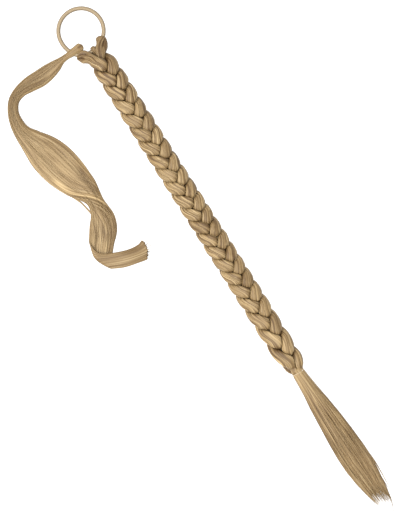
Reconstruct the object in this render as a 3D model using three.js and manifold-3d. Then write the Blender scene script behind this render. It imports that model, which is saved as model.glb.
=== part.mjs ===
// Braided ponytail extension lying on a table: a covered elastic ring, three bundles of hair looped on the
// ring and braided, a small clear band, the loose tail below the band, and a loose lock for winding round a
// hair tie. Millimetres, +Z up. The ring's middle stands over the origin, the table is z = 0 and the braid
// runs along -Y.
import * as THREE from "three";
import { mergeVertices } from "three/addons/utils/BufferGeometryUtils.js";
import Module from "manifold-3d";

const wasm = await Module();
wasm.setup();

// Clearances
const GAP = 0.3; // between pieces that touch in the real object
const STRAND_GAP = 1.1; // between two strands of the braid, room for their flat facets

// Elastic ring
const RING_RADIUS = 23.7; // to the middle of the elastic
const CORD_RADIUS = 2.05;
const RING_TILT = 2.6; // how far the hair lifts the lower side of the ring
const RING_PULL = 1.9; // how far the left bundle draws the ring out of round
const PULL_ANGLE = -124; // degrees, where that bundle hangs
const PULL_SPREAD = 30;
const RING_SEGMENTS = 40;
const RING_SIDES = 8;

// Braid
const BRAID_TOP = -47; // tip of the first left lobe
const BRAID_END = -421.2; // the strands stop under the band
const BRAID_AXIS = { top: 1.8, end: 3.3 }; // sideways place of the axis
const BRAID_HEIGHT = 10.05; // height of the axis over the table
const BRAID_ROLL = 9; // degrees the braid leans about its axis
const PLAIT = { wide: 14.2, high: 10 }; // half width and half height of the whole plait, an oval
const PLAIT_START = { from: -12, to: -4 }; // along the braid, where the strands come into the oval
const CROSSING = -0.08; // how much faster than a sine a strand crosses the axis
const LEFT_OVER = 0.4; // how much higher a strand crosses from the left than from the right
const FIRST_LOBE = -0.056; // lobes already passed at the top
const NECK_SPREAD = 3.0; // distance of each strand from the axis under the band
const LOBE_PITCH = [
  { along: -40, pitch: 19.5 },
  { along: 0, pitch: 18.2 },
  { along: 45, pitch: 17.1 },
  { along: 120, pitch: 16.4 },
  { along: 215, pitch: 15.4 },
  { along: 272, pitch: 16.0 },
  { along: 305, pitch: 20.2 },
  { along: 340, pitch: 24.8 },
  { along: 380, pitch: 27 },
];
const BRAID_FORM = [
  { along: -10, swing: 7.4, lift: 5.6, wide: 6.6, high: 5.6, gathered: 0 },
  { along: 8, swing: 7.4, lift: 5.6, wide: 8.5, high: 7.0, gathered: 0 },
  { along: 300, swing: 7.3, lift: 5.6, wide: 8.5, high: 7.0, gathered: 0 },
  { along: 356, swing: 7.4, lift: 5.0, wide: 8.0, high: 6.4, gathered: 0 },
  { along: 368, swing: 6.0, lift: 3.3, wide: 5.7, high: 4.7, gathered: 0.45 },
  { along: 372.2, swing: 4.0, lift: 2.6, wide: 4.0, high: 3.8, gathered: 1 },
  { along: 374.2, swing: 3.0, lift: 2.5, wide: 3.6, high: 3.6, gathered: 1 },
];
const SECTION_STEP = 4.9;
const SECTION_SIDES = 10;
const ROUNDING = 8; // how sharp the edges of a strand's section are
const ROUTE_STEP = 2.5; // between the points of a strand's route in the plait
const NEIGHBOUR_STEP = 1.2; // between the points of a neighbour that presses on a section
const ROOT_ROUND = 5; // length of a strand's rounded end on the ring
const ROOT_RINGS = [0.05, 0.22, 0.56, 1]; // sections of the rounded end, as shares of its length
const ARC_DIVISIONS = 1200;

// Each strand: its turn in the plait, where it gathers under the band, where the regular braid takes over,
// and the route of its root from the loop on the ring.
const STRANDS = {
  strand_left: {
    turn: 0,
    gatherAngle: 130,
    braidFrom: -9,
    root: [
      { x: -18.8, y: -22.2, z: 5.0, wide: 4.6, high: 4.8 },
      { x: -14.6, y: -23.5, z: 5.1, wide: 4.8, high: 5.0 },
      { x: -10.0, y: -26.3, z: 6.9, wide: 5.8, high: 5.2 },
      { x: -6.1, y: -31.6, z: 10.2, wide: 5.8, high: 5.6 },
    ],
  },
  strand_right: {
    turn: 1,
    gatherAngle: 250,
    braidFrom: -4,
    root: [
      { x: 17.8, y: -17.2, z: 5.2, wide: 4.9, high: 5.0 },
      { x: 12.6, y: -20.4, z: 5.3, wide: 6.8, high: 5.0 },
      { x: 7.8, y: -25.4, z: 7.2, wide: 8.0, high: 5.2 },
      { x: 4.2, y: -32.0, z: 8.8, wide: 6.9, high: 5.4 },
      { x: 0.9, y: -38.0, z: 8.0, wide: 5.8, high: 5.6 },
    ],
  },
  strand_middle: {
    turn: 2,
    gatherAngle: 10,
    braidFrom: -3,
    root: [
      { x: 2.0, y: -20.0, z: 5.4, wide: 5.6, high: 4.2 },
      { x: 1.4, y: -24.4, z: 5.2, wide: 5.6, high: 4.0 },
      { x: 3.2, y: -29.0, z: 3.9, wide: 4.4, high: 3.8 },
      { x: 5.8, y: -34.4, z: 4.7, wide: 4.4, high: 4.4 },
      { x: 8.8, y: -40.2, z: 7.2, wide: 5.4, high: 5.4 },
    ],
  },
};

// Clear band round the neck of the braid
const BAND_CORD = 0.45; // radius
const BAND_Y = -421.6;
const NECK_RADIUS = 6.4;
const BAND_SEGMENTS = 24;
const BAND_SIDES = 6;

// Loose tail, from the band to where it parts into locks
const TAIL_SIDES = 24;
const TAIL_RIBS = 6;
const TAIL_RIB_DEPTH = 0.035;
const TAIL = [
  { y: -421.9, left: -2.6, right: 9.4, mid: 10.0, rise: 6.0 },
  { y: -431, left: -3.6, right: 11.2, mid: 8.8, rise: 7.1 },
  { y: -445, left: -4.4, right: 13.3, mid: 6.9, rise: 7.4 },
  { y: -460, left: -6.0, right: 15.7, mid: 5.4, rise: 7.0 },
  { y: -480, left: -7.2, right: 18.4, mid: 4.2, rise: 6.4 },
  { y: -500, left: -8.5, right: 20.4, mid: 3.3, rise: 5.8 },
  { y: -520, left: -9.2, right: 21.7, mid: 2.6, rise: 5.1 },
  { y: -538, left: -8.6, right: 22.0, mid: 2.0, rise: 4.1 },
  { y: -552, left: -6.6, right: 20.8, mid: 1.5, rise: 3.1 },
  { y: -561, left: -5.0, right: 19.6, mid: 1.0, rise: 2.0 },
];
const LOCK_START = -528;
const LOCK_SIDES = 8;
const LOCK_RINGS = [0, 0.2, 0.4, 0.6, 0.8, 0.92, 1]; // shares of a lock's length
const LOCK_FORM = { mid: 1.1, rise: 2.4, thinned: 0.8, taper: 2.4 };
const TAIL_LOCKS = [
  { from: -5.4, to: -2.2, end: -571, wide: 6.4 },
  { from: -2.0, to: 1.4, end: -578, wide: 6.2 },
  { from: 2.0, to: 4.0, end: -574, wide: 6.4 },
  { from: 5.8, to: 7.0, end: -580, wide: 6.4 },
  { from: 9.4, to: 9.8, end: -577, wide: 6.2 },
  { from: 12.6, to: 12.8, end: -584.2, wide: 5.8 },
  { from: 15.6, to: 15.2, end: -578, wide: 5.8 },
  { from: 18.0, to: 17.4, end: -571, wide: 5.2 },
  { from: 19.6, to: 22.0, end: -576, wide: 3.2 },
];

// Loose lock: route of its middle over the table, its width, the height of its middle, its rise over that,
// and how far its hair has turned about the middle. The rows past the fold are given as they lie before
// folding.
const LOCK_STEP = 8.8; // between sections
const FOLD_STEP = 3.4; // between sections in the fold
const WRAP_SIDES = 14;
const WRAP_LOCK = [
  { x: -6.7, y: -13.3, wide: 2.6, mid: 4.4, rise: 1.6, turned: 0 },
  { x: -8.2, y: -13.6, wide: 7.8, mid: 4.4, rise: 3.3, turned: 0 },
  { x: -11.7, y: -13.9, wide: 8.9, mid: 4.4, rise: 3.9, turned: 0 },
  { x: -16.2, y: -14.4, wide: 8.6, mid: 4.4, rise: 4.1, turned: 0 },
  { x: -21.1, y: -14.6, wide: 8.0, mid: 4.3, rise: 4.0, turned: 0 },
  { x: -26.5, y: -14.8, wide: 6.6, mid: 3.6, rise: 3.4, turned: 0 },
  { x: -33, y: -15.3, wide: 7.4, mid: 2.9, rise: 3.2, turned: 0 },
  { x: -42, y: -17.0, wide: 12.8, mid: 2.3, rise: 3.1, turned: 0 },
  { x: -52, y: -18.3, wide: 16.8, mid: 2.0, rise: 3.0, turned: 0 },
  { x: -62, y: -19.2, wide: 18.2, mid: 1.9, rise: 2.9, turned: 0 },
  { x: -75, y: -18.8, wide: 16.6, mid: 1.9, rise: 2.9, turned: 0 },
  { x: -87, y: -19.7, wide: 13, mid: 2.0, rise: 3.0, turned: 0 },
  { x: -97.7, y: -24.5, wide: 11.2, mid: 2.2, rise: 3.2, turned: 0 },
  { x: -104.8, y: -34.4, wide: 11.4, mid: 2.2, rise: 3.2, turned: 0 },
  { x: -107.8, y: -46, wide: 14, mid: 2.1, rise: 3.1, turned: 0 },
  { x: -107.8, y: -58, wide: 18, mid: 1.9, rise: 3.0, turned: 0 },
  { x: -104.6, y: -70, wide: 26.4, mid: 1.8, rise: 2.8, turned: 0 },
  { x: -99.8, y: -85, wide: 37.2, mid: 1.7, rise: 2.7, turned: 0 },
  { x: -95.4, y: -100, wide: 41.4, mid: 1.7, rise: 2.7, turned: 0 },
  { x: -91.6, y: -115, wide: 40.6, mid: 1.7, rise: 2.8, turned: 0 },
  { x: -87.4, y: -130, wide: 35.4, mid: 1.9, rise: 3.1, turned: 4 },
  { x: -83.6, y: -142, wide: 28.4, mid: 2.2, rise: 3.6, turned: 22 },
  { x: -81.7, y: -152, wide: 20.6, mid: 2.6, rise: 4.0, turned: 55 },
  { x: -81.5, y: -160, wide: 17.4, mid: 2.6, rise: 4.0, turned: 98 },
  { x: -82.2, y: -168, wide: 20.2, mid: 2.3, rise: 3.5, turned: 135 },
  { x: -84.6, y: -178, wide: 26.3, mid: 1.9, rise: 2.8, turned: 156 },
  { x: -90.1, y: -188, wide: 29.0, mid: 1.6, rise: 2.2, turned: 170 },
  { x: -97.5, y: -196.8, wide: 27.2, mid: 1.5, rise: 1.9, turned: 180 },
  { x: -103.2, y: -204.5, wide: 25.4, mid: 1.5, rise: 1.8, turned: 180 },
  { x: -111.9, y: -216.0, wide: 22.6, mid: 1.5, rise: 1.8, turned: 180 },
  { x: -120.4, y: -227.1, wide: 21.6, mid: 1.5, rise: 1.8, turned: 180 },
  { x: -131.6, y: -235.1, wide: 21.4, mid: 1.5, rise: 1.7, turned: 180 },
  { x: -142.9, y: -239.2, wide: 23.4, mid: 1.4, rise: 1.6, turned: 180 },
  { x: -148.2, y: -239.8, wide: 25.2, mid: 1.2, rise: 1.4, turned: 180 },
];
const WRAP_RIBS = 5;
const WRAP_RIB_DEPTH = 0.05;
const ROOT_LENGTH = 12; // of the lock's rounded end on the ring
const END_RINGS = { first: 1.6, last: 4 }; // distance of the sections next to the two ends
const CUT = { from: 30, slant: 10 }; // the hairs on the lower side of the cut end are shorter

// The fold: a point on it, the way across it in degrees, the height of its axis, the height in the lock that
// keeps its length, how much sooner the hairs beside its middle fold, and half its length.
const FOLD = { x: -109.7, y: -208.65, away: 186.95, axis: 3.7, flat: 1.6, bow: 7, reach: 16 };
const FOLD_NEAR = 20; // sections are closer together within this distance
const FOLD_SETTLE = { from: 14, to: 42, drop: 4.1 }; // the folded end comes down to the table again

const HAIR = new THREE.MeshStandardMaterial({ name: "hair", color: 0xbb9a68, roughness: 0.55 });
const COVERED_ELASTIC = new THREE.MeshStandardMaterial({
  name: "covered_elastic", color: 0xb08a58, roughness: 0.8 });
const CLEAR_RUBBER = new THREE.MeshStandardMaterial({
  name: "clear_rubber", color: 0xe6e0d4, roughness: 0.25 });

const UP = new THREE.Vector3(0, 0, 1);
const rad = THREE.MathUtils.degToRad;
const smooth = THREE.MathUtils.smoothstep;

// Value of a column of a table of sections at a place between its rows, straight between them.
function between(rows, key, at, column) {
  let i = 0;
  while (i < rows.length - 2 && (at - rows[i + 1][key]) * Math.sign(rows[1][key] - rows[0][key]) > 0) i++;
  const t = (at - rows[i][key]) / (rows[i + 1][key] - rows[i][key]);
  return THREE.MathUtils.lerp(rows[i][column], rows[i + 1][column], THREE.MathUtils.clamp(t, 0, 1));
}

// Closed surface through rings of equal length, each ring turning right-handed about the way ahead.
function loft(rings) {
  const sides = rings[0].length;
  const points = rings.flat();
  const middle = (ring) => ring.reduce((sum, p) => sum.add(p), new THREE.Vector3()).divideScalar(sides);
  points.push(middle(rings[0]), middle(rings[rings.length - 1]));
  const last = (rings.length - 1) * sides;
  const index = [];
  for (let k = 0; k < sides; k++) {
    const n = (k + 1) % sides;
    index.push(points.length - 2, n, k, points.length - 1, last + k, last + n);
    for (let j = 0; j < rings.length - 1; j++) {
      const a = j * sides;
      const b = a + sides;
      index.push(a + k, a + n, b + n, a + k, b + n, b + k);
    }
  }
  const geometry = new THREE.BufferGeometry().setFromPoints(points);
  geometry.setIndex(index);
  return geometry;
}

function solid(geometry) {
  const bare = new THREE.BufferGeometry();
  bare.setAttribute("position", geometry.getAttribute("position"));
  bare.setIndex(geometry.getIndex());
  const merged = mergeVertices(bare, 1e-4);
  return new wasm.Manifold(
    new wasm.Mesh({
      numProp: 3,
      vertProperties: new Float32Array(merged.getAttribute("position").array),
      triVerts: new Uint32Array(merged.getIndex().array),
    }),
  );
}

function geometryOf(body) {
  const mesh = body.getMesh();
  const geometry = new THREE.BufferGeometry();
  geometry.setAttribute("position", new THREE.BufferAttribute(new Float32Array(mesh.vertProperties), 3));
  geometry.setIndex(new THREE.BufferAttribute(new Uint32Array(mesh.triVerts), 1));
  return geometry;
}

function named(name, geometry, material) {
  geometry.computeVertexNormals();
  const mesh = new THREE.Mesh(geometry, material);
  mesh.name = name;
  return mesh;
}

// The elastic is a circle drawn out where the left bundle hangs, lifted by the hair on its lower side.
class RingCurve extends THREE.Curve {
  getPoint(t, target = new THREE.Vector3()) {
    const angle = t * 360 - 180;
    const pull = RING_PULL * Math.exp(-(((angle - PULL_ANGLE) / PULL_SPREAD) ** 2));
    const r = RING_RADIUS + pull;
    const lift = (RING_TILT * (1 - Math.sin(rad(angle)))) / 2;
    return target.set(r * Math.cos(rad(angle)), r * Math.sin(rad(angle)), CORD_RADIUS + lift);
  }
}
const ringTube = (radius) =>
  new THREE.TubeGeometry(new RingCurve(), RING_SEGMENTS, radius, RING_SIDES, true);

// Lobes passed on the left side of the braid.
function lobesAt(along) {
  const steps = Math.max(1, Math.ceil(Math.abs(along)));
  let lobes = FIRST_LOBE;
  for (let i = 0; i < steps; i++) {
    lobes += along / steps / between(LOBE_PITCH, "along", ((i + 0.5) * along) / steps, "pitch");
  }
  return lobes;
}

function axisAt(along) {
  return THREE.MathUtils.lerp(BRAID_AXIS.top, BRAID_AXIS.end, along / (BRAID_TOP - BRAID_END));
}

// Middle of a strand in the regular braid: a sideways wave and an over-and-under wave of twice its rate,
// leaning by the roll. At the lower end the three strands gather to a round neck.
function braidPoint(strand, along) {
  const form = (column) => between(BRAID_FORM, "along", along, column);
  const phase = (2 * Math.PI * (lobesAt(along) - strand.turn)) / 3;
  const side = (form("swing") * (Math.sin(phase) + CROSSING * Math.sin(3 * phase))) / (1 - CROSSING);
  const over = LEFT_OVER * Math.cos(phase) - form("lift") * Math.sin(2 * phase);
  const roll = rad(BRAID_ROLL);
  const gather = form("gathered");
  const angle = rad(strand.gatherAngle);
  const x = side * Math.cos(roll) + over * Math.sin(roll);
  const z = over * Math.cos(roll) - side * Math.sin(roll);
  return new THREE.Vector3(
    axisAt(along) + THREE.MathUtils.lerp(x, NECK_SPREAD * Math.cos(angle), gather),
    BRAID_TOP - along,
    BRAID_HEIGHT + THREE.MathUtils.lerp(z, NECK_SPREAD * Math.sin(angle), gather),
  );
}

// Route of a strand from its loop on the ring to the band, with its free half width and half height.
function strandRoute(strand) {
  const stops = strand.root.map(
    ({ x, y, z, wide, high }) => ({ at: new THREE.Vector3(x, y, z), wide, high }));
  const end = BRAID_TOP - BRAID_END;
  const count = Math.round((end - strand.braidFrom) / ROUTE_STEP);
  for (let i = 0; i <= count; i++) {
    const along = THREE.MathUtils.lerp(strand.braidFrom, end, i / count);
    const form = (column) => between(BRAID_FORM, "along", along, column);
    stops.push({ at: braidPoint(strand, along), wide: form("wide"), high: form("high") });
  }
  const curve = new THREE.CatmullRomCurve3(stops.map((stop) => stop.at), false, "centripetal");
  curve.arcLengthDivisions = ARC_DIVISIONS;
  return { curve, stops, length: curve.getLength() };
}

// Distance from a point to the outside of the plait: with both in half sizes of its oval, the t where
// |offset + t way| = 1.
function outerReach(from, way, along) {
  const offset = new THREE.Vector2(
    (from.x - axisAt(along)) / PLAIT.wide, (from.z - BRAID_HEIGHT) / PLAIT.high);
  const step = new THREE.Vector2(way.x / PLAIT.wide, way.z / PLAIT.high);
  const half = offset.dot(step);
  const rest = half ** 2 + step.lengthSq() * (1 - offset.lengthSq());
  return (Math.sqrt(rest) - half) / step.lengthSq();
}

// A strand's section reaches out to its free size, to the outside of the plait or to the plane half way to
// each neighbour, whichever is nearer, with the corner between two of these rounded off.
function reach(from, way, free, neighbours) {
  const along = BRAID_TOP - from.y;
  const gathered = between(BRAID_FORM, "along", along, "gathered");
  const inPlait = smooth(along, PLAIT_START.from, PLAIT_START.to) * (1 - gathered);
  let inverse = free ** -ROUNDING;
  if (inPlait > 0) inverse += inPlait * outerReach(from, way, along) ** -ROUNDING;
  for (const points of neighbours) {
    let half = Infinity;
    for (const point of points) {
      const dx = point.x - from.x;
      const dy = point.y - from.y;
      const dz = point.z - from.z;
      const ahead = way.x * dx + way.y * dy + way.z * dz;
      if (ahead > 0) half = Math.min(half, (dx * dx + dy * dy + dz * dz) / (2 * ahead));
    }
    inverse += (half - STRAND_GAP / 2) ** -ROUNDING;
  }
  return inverse ** (-1 / ROUNDING);
}

function strandSolid(route, others) {
  const neighbours = others.map(
    (other) => other.curve.getSpacedPoints(Math.round(other.length / NEIGHBOUR_STEP)));
  const places = ROOT_RINGS.map((share) => share * ROOT_ROUND);
  const count = Math.round((route.length - ROOT_ROUND) / SECTION_STEP);
  for (let i = 1; i <= count; i++) places.push(THREE.MathUtils.lerp(ROOT_ROUND, route.length, i / count));
  const rings = places.map((place) => {
    const u = place / route.length;
    const t = route.curve.getUtoTmapping(u) * (route.stops.length - 1);
    const stop = Math.min(Math.floor(t), route.stops.length - 2);
    const size = (column) =>
      THREE.MathUtils.lerp(route.stops[stop][column], route.stops[stop + 1][column], t - stop);
    const round = Math.sqrt(1 - (1 - Math.min(place / ROOT_ROUND, 1)) ** 2);
    const middle = route.curve.getPointAt(u);
    const ahead = route.curve.getTangentAt(u);
    const side = new THREE.Vector3().crossVectors(UP, ahead).normalize();
    const over = new THREE.Vector3().crossVectors(ahead, side);
    return Array.from({ length: SECTION_SIDES }, (_, k) => {
      const angle = (2 * Math.PI * k) / SECTION_SIDES;
      const way = side.clone().multiplyScalar(Math.cos(angle)).addScaledVector(over, Math.sin(angle));
      const free = 1 / Math.hypot(Math.cos(angle) / size("wide"), Math.sin(angle) / size("high"));
      return middle.clone().addScaledVector(way, reach(middle, way, free, neighbours) * round);
    });
  });
  return solid(loft(rings));
}

// Section of hair lying on the table: an oval with shallow ribs, flat where it meets the table.
function lyingSection(middle, side, wide, mid, rise, sides, ribs, depth, turned) {
  return Array.from({ length: sides }, (_, k) => {
    const angle = (2 * Math.PI * k) / sides;
    const rib = 1 + depth * Math.cos(ribs * (angle + rad(turned)));
    const point = middle.clone().addScaledVector(side, (wide / 2) * Math.cos(angle) * rib);
    point.z = Math.max(0, mid + rise * Math.sin(angle) * rib);
    return point;
  });
}

function tailSolid() {
  const side = new THREE.Vector3(1, 0, 0);
  const rings = TAIL.map((row) => {
    const middle = new THREE.Vector3((row.left + row.right) / 2, row.y, 0);
    const wide = row.right - row.left;
    return lyingSection(middle, side, wide, row.mid, row.rise, TAIL_SIDES, TAIL_RIBS, TAIL_RIB_DEPTH, 0);
  });
  let body = solid(loft(rings));
  for (const lock of TAIL_LOCKS) {
    const lockRings = LOCK_RINGS.map((t) => {
      const y = THREE.MathUtils.lerp(LOCK_START, lock.end, t);
      const middle = new THREE.Vector3(THREE.MathUtils.lerp(lock.from, lock.to, t), y, 0);
      const size = 1 - LOCK_FORM.thinned * t ** LOCK_FORM.taper;
      const { mid, rise } = LOCK_FORM;
      return lyingSection(middle, side, lock.wide * size, mid * size, rise * size, LOCK_SIDES, 1, 0, 0);
    });
    body = body.add(solid(loft(lockRings)));
  }
  return body;
}

// Folding over: past the fold the lock rolls up about an axis just above it and comes back on top of itself.
function foldOver(point) {
  const away = new THREE.Vector3(Math.cos(rad(FOLD.away)), Math.sin(rad(FOLD.away)), 0);
  const ahead = (point.x - FOLD.x) * away.x + (point.y - FOLD.y) * away.y;
  const aside = (point.y - FOLD.y) * away.x - (point.x - FOLD.x) * away.y;
  const bow = FOLD.bow * (1 - Math.exp(-((aside / FOLD.reach) ** 2)));
  const past = ahead + bow * smooth(ahead, -FOLD.reach, 0);
  if (past <= 0) return point;
  const bend = FOLD.axis - FOLD.flat;
  const reachOut = FOLD.axis - point.z;
  const angle = Math.min(past / bend, Math.PI);
  const back = Math.max(0, past - Math.PI * bend);
  point.addScaledVector(away, reachOut * Math.sin(angle) - back - past);
  point.z = FOLD.axis - reachOut * Math.cos(angle);
  point.z = Math.max(0, point.z - FOLD_SETTLE.drop * smooth(back, FOLD_SETTLE.from, FOLD_SETTLE.to));
  return point;
}

// Places of the sections on the lock's route, closer together at its rounded end and where it folds.
function lockPlaces(route) {
  const length = route.getLength();
  const fold = new THREE.Vector3(FOLD.x, FOLD.y, 0);
  const places = [0];
  for (let at = END_RINGS.first; at < length - END_RINGS.last; ) {
    places.push(at / length);
    const near = at < ROOT_LENGTH || route.getPointAt(at / length).distanceTo(fold) < FOLD_NEAR;
    at += near ? FOLD_STEP : LOCK_STEP;
  }
  return [...places, 1];
}

function wrapLockSolid() {
  const route = new THREE.CatmullRomCurve3(
    WRAP_LOCK.map((row) => new THREE.Vector3(row.x, row.y, 0)), false, "centripetal");
  route.arcLengthDivisions = ARC_DIVISIONS;
  const rings = lockPlaces(route).map((u) => {
    const t = route.getUtoTmapping(u);
    const place = t * (WRAP_LOCK.length - 1);
    const i = Math.min(Math.floor(place), WRAP_LOCK.length - 2);
    const size = (column) => THREE.MathUtils.lerp(WRAP_LOCK[i][column], WRAP_LOCK[i + 1][column], place - i);
    const ahead = route.getTangent(t);
    const side = new THREE.Vector3().crossVectors(UP, ahead).normalize();
    const section = lyingSection(
      route.getPoint(t), side, size("wide"), size("mid"), size("rise"),
      WRAP_SIDES, WRAP_RIBS, WRAP_RIB_DEPTH, size("turned"));
    const nearEnd = smooth((u - 1) * route.getLength(), -CUT.from, 0);
    return section.map((point, k) => {
      const shorter = (CUT.slant * nearEnd * (1 + Math.cos((2 * Math.PI * k) / WRAP_SIDES))) / 2;
      return foldOver(point.addScaledVector(ahead, -shorter));
    });
  });
  return solid(loft(rings));
}

class BandCurve extends THREE.Curve {
  getPoint(t, target = new THREE.Vector3()) {
    const angle = 2 * Math.PI * t;
    const r = NECK_RADIUS + GAP + BAND_CORD;
    return target.set(BRAID_AXIS.end + r * Math.cos(angle), BAND_Y, BRAID_HEIGHT + r * Math.sin(angle));
  }
}

const ringClearance = solid(ringTube(CORD_RADIUS + GAP));
const part = new THREE.Group();
part.name = "braided_ponytail_extension";
part.add(named("elastic_ring", ringTube(CORD_RADIUS), COVERED_ELASTIC));

const routes = Object.fromEntries(
  Object.entries(STRANDS).map(([name, strand]) => [name, strandRoute(strand)]));
for (const name of Object.keys(STRANDS)) {
  const others = Object.keys(routes).filter((other) => other !== name).map((other) => routes[other]);
  part.add(named(name, geometryOf(strandSolid(routes[name], others).subtract(ringClearance)), HAIR));
}

const band = new THREE.TubeGeometry(new BandCurve(), BAND_SEGMENTS, BAND_CORD, BAND_SIDES, true);
part.add(named("tie_band", band, CLEAR_RUBBER));
part.add(named("tail", geometryOf(tailSolid()), HAIR));
part.add(named("wrap_lock", geometryOf(wrapLockSolid().subtract(ringClearance)), HAIR));

export default part;
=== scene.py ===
# %% [markdown]
# # Braided ponytail extension
# A covered elastic ring carries three bundles of hair. They are plaited, held by a small clear band and run
# out in a loose tail. A fourth lock hangs loose on the ring, to be wound round the hair tie that the ring
# goes over.
#
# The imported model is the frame: the ring's middle stands over the origin, the table is z = 0 and the braid
# runs along -Y. Shapes below are worked out in millimetres and written into the meshes in metres.

import bpy
import numpy as np
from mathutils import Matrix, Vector


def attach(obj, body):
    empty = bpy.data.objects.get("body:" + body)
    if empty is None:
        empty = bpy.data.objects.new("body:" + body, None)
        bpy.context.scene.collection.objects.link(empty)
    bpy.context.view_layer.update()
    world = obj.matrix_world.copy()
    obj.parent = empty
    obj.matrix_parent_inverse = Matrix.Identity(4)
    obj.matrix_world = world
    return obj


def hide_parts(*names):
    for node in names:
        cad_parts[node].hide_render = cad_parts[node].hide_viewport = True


MM = 0.001
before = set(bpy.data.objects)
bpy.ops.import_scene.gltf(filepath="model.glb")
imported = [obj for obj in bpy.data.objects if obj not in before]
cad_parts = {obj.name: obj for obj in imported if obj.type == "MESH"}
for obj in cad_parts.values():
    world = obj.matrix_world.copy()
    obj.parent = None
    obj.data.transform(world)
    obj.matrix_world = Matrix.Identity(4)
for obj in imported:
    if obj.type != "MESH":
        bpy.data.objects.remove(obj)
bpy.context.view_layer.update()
print("frame nodes:", ", ".join(sorted(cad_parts)))

# %% [markdown]
# ## Camera
# The picture looks straight down on the lying braid, which slants across it. A camera could be orthographic
# for this, but a long lens far away looks the same and can still be moved round the object for other views.

# %% Camera over the table
SLANT = np.radians(31.97)  # of the braid in the picture
PICTURE_MIDDLE = (-20.9, -267.6)  # on the table
PICTURE_HEIGHT = 539.8  # of the stretch of table in the picture
CAMERA_HEIGHT = 3000
LEVEL = 8  # height over the table that the picture's scale belongs to

camera = bpy.data.cameras.new("camera")
camera.lens = camera.sensor_width * CAMERA_HEIGHT / PICTURE_HEIGHT
camera_object = bpy.data.objects.new("camera", camera)
camera_object.location = Vector((*PICTURE_MIDDLE, CAMERA_HEIGHT + LEVEL)) * MM
camera_object.rotation_euler = (0, 0, -SLANT)
bpy.context.scene.collection.objects.link(camera_object)
bpy.context.scene.camera = camera_object
print(f"camera lens {camera.lens:.0f} mm")

# %% [markdown]
# ## Light and floor
# The object lies on a light table, so no shadow falls beside it, and one large soft light from the upper
# left gives it form. Lamps near the table would fall off over a wide floor, so the key light is a sun with a
# wide disc, and the rest is the white of the world. The table glows as white as the picture can be and
# throws little light back, which leaves the sides of the locks darker than their tops.

# %% White studio
WHITE = (1, 1, 1, 1)
WORLD_STRENGTH = 0.75
KEY_STRENGTH = 6.0
KEY_WIDTH = np.radians(80)
KEY_FROM = (-0.5, 0.2, 1.3)
FLOOR_SIZE = 30  # m
FLOOR_DROP = 0.1  # keeps the floor clear of the hair that lies on it
TABLE_FINISH = {
    "Base Color": (0.25, 0.25, 0.25, 1), "Roughness": 0.9, "Emission Color": WHITE, "Emission Strength": 1.0}

scene = bpy.context.scene
scene.view_settings.view_transform = "Standard"
scene.world = bpy.data.worlds.new("studio")
scene.world.use_nodes = True
background = scene.world.node_tree.nodes["Background"]
background.inputs["Color"].default_value = WHITE
background.inputs["Strength"].default_value = WORLD_STRENGTH

key = bpy.data.lights.new("key", "SUN")
key.energy = KEY_STRENGTH
key.angle = KEY_WIDTH
key_object = bpy.data.objects.new("key", key)
key_object.rotation_euler = Vector(KEY_FROM).to_track_quat("Z", "Y").to_euler()
scene.collection.objects.link(key_object)

corners = np.array([(-1, -1, 0), (1, -1, 0), (1, 1, 0), (-1, 1, 0)]) * FLOOR_SIZE / 2
floor_mesh = bpy.data.meshes.new("floor")
floor_mesh.from_pydata(corners - (0, 0, FLOOR_DROP * MM), [], [(0, 1, 2, 3)])
floor = bpy.data.objects.new("floor", floor_mesh)
scene.collection.objects.link(floor)
light_table = bpy.data.materials.new("light_table")
light_table.use_nodes = True
for socket, value in TABLE_FINISH.items():
    light_table.node_tree.nodes["Principled BSDF"].inputs[socket].default_value = value
floor_mesh.materials.append(light_table)
print("studio:", scene.world.name, "with", key.name)

# %% [markdown]
# ## Shader sums in Python
# A finish is a small formula, so it reads best as one. `Wire` holds one output of a node; sums and products
# of wires add Math nodes, and `node` adds any other node.

# %% Wires
class Wire:
    """One output of a shader node. Sums, differences and products of wires add Math nodes to its tree."""

    def __init__(self, tree, socket):
        self.tree = tree
        self.socket = socket

    def node(self, kind, settings, sockets, output=0):
        """A new node of a kind: its settings first, then the values or wires of its sockets."""
        made = self.tree.nodes.new(kind)
        for name, value in settings.items():
            if name == "stops":
                set_stops(made.color_ramp, value)
            else:
                setattr(made, name, value)
        for name, value in sockets.items():
            if isinstance(value, Wire):
                self.tree.links.new(value.socket, made.inputs[name])
            else:
                made.inputs[name].default_value = value
        return Wire(self.tree, made.outputs[output])

    def attribute(self, name, output):
        """An attribute of the mesh."""
        return self.node("ShaderNodeAttribute", {"attribute_name": name}, {}, output)

    def mix(self, share, first, second):
        """The colour at a share of the way between two: sockets 6 and 7 and output 2 of a Mix node."""
        return self.node("ShaderNodeMix", {"data_type": "RGBA"}, {0: share, 6: first, 7: second}, 2)

    def math(self, operation, first, second):
        """A Math node."""
        return self.node("ShaderNodeMath", {"operation": operation}, {0: first, 1: second})

    def __add__(self, other):
        return self.math("ADD", self, other)

    def __sub__(self, other):
        return self.math("SUBTRACT", self, other)

    def __rsub__(self, other):
        return self.math("SUBTRACT", other, self)

    def __mul__(self, other):
        return self.math("MULTIPLY", self, other)

    __radd__ = __add__
    __rmul__ = __mul__


def set_stops(ramp, stops):
    """Gives a colour ramp its (place, colour) stops."""
    while len(ramp.elements) < len(stops):
        ramp.elements.new(1)
    for element, (place, colour) in zip(ramp.elements, stops):
        element.position = place
        element.color = colour


def new_finish(name):
    """A material, a wire that adds nodes to it, and a function that feeds its shader's sockets."""
    material = bpy.data.materials.new(name)
    material.use_nodes = True
    tree = material.node_tree
    shader = tree.nodes["Principled BSDF"]

    def feed(socket, value):
        if isinstance(value, Wire):
            tree.links.new(value.socket, shader.inputs[socket])
        else:
            shader.inputs[socket].default_value = value

    return material, Wire(tree, None), feed


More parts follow.
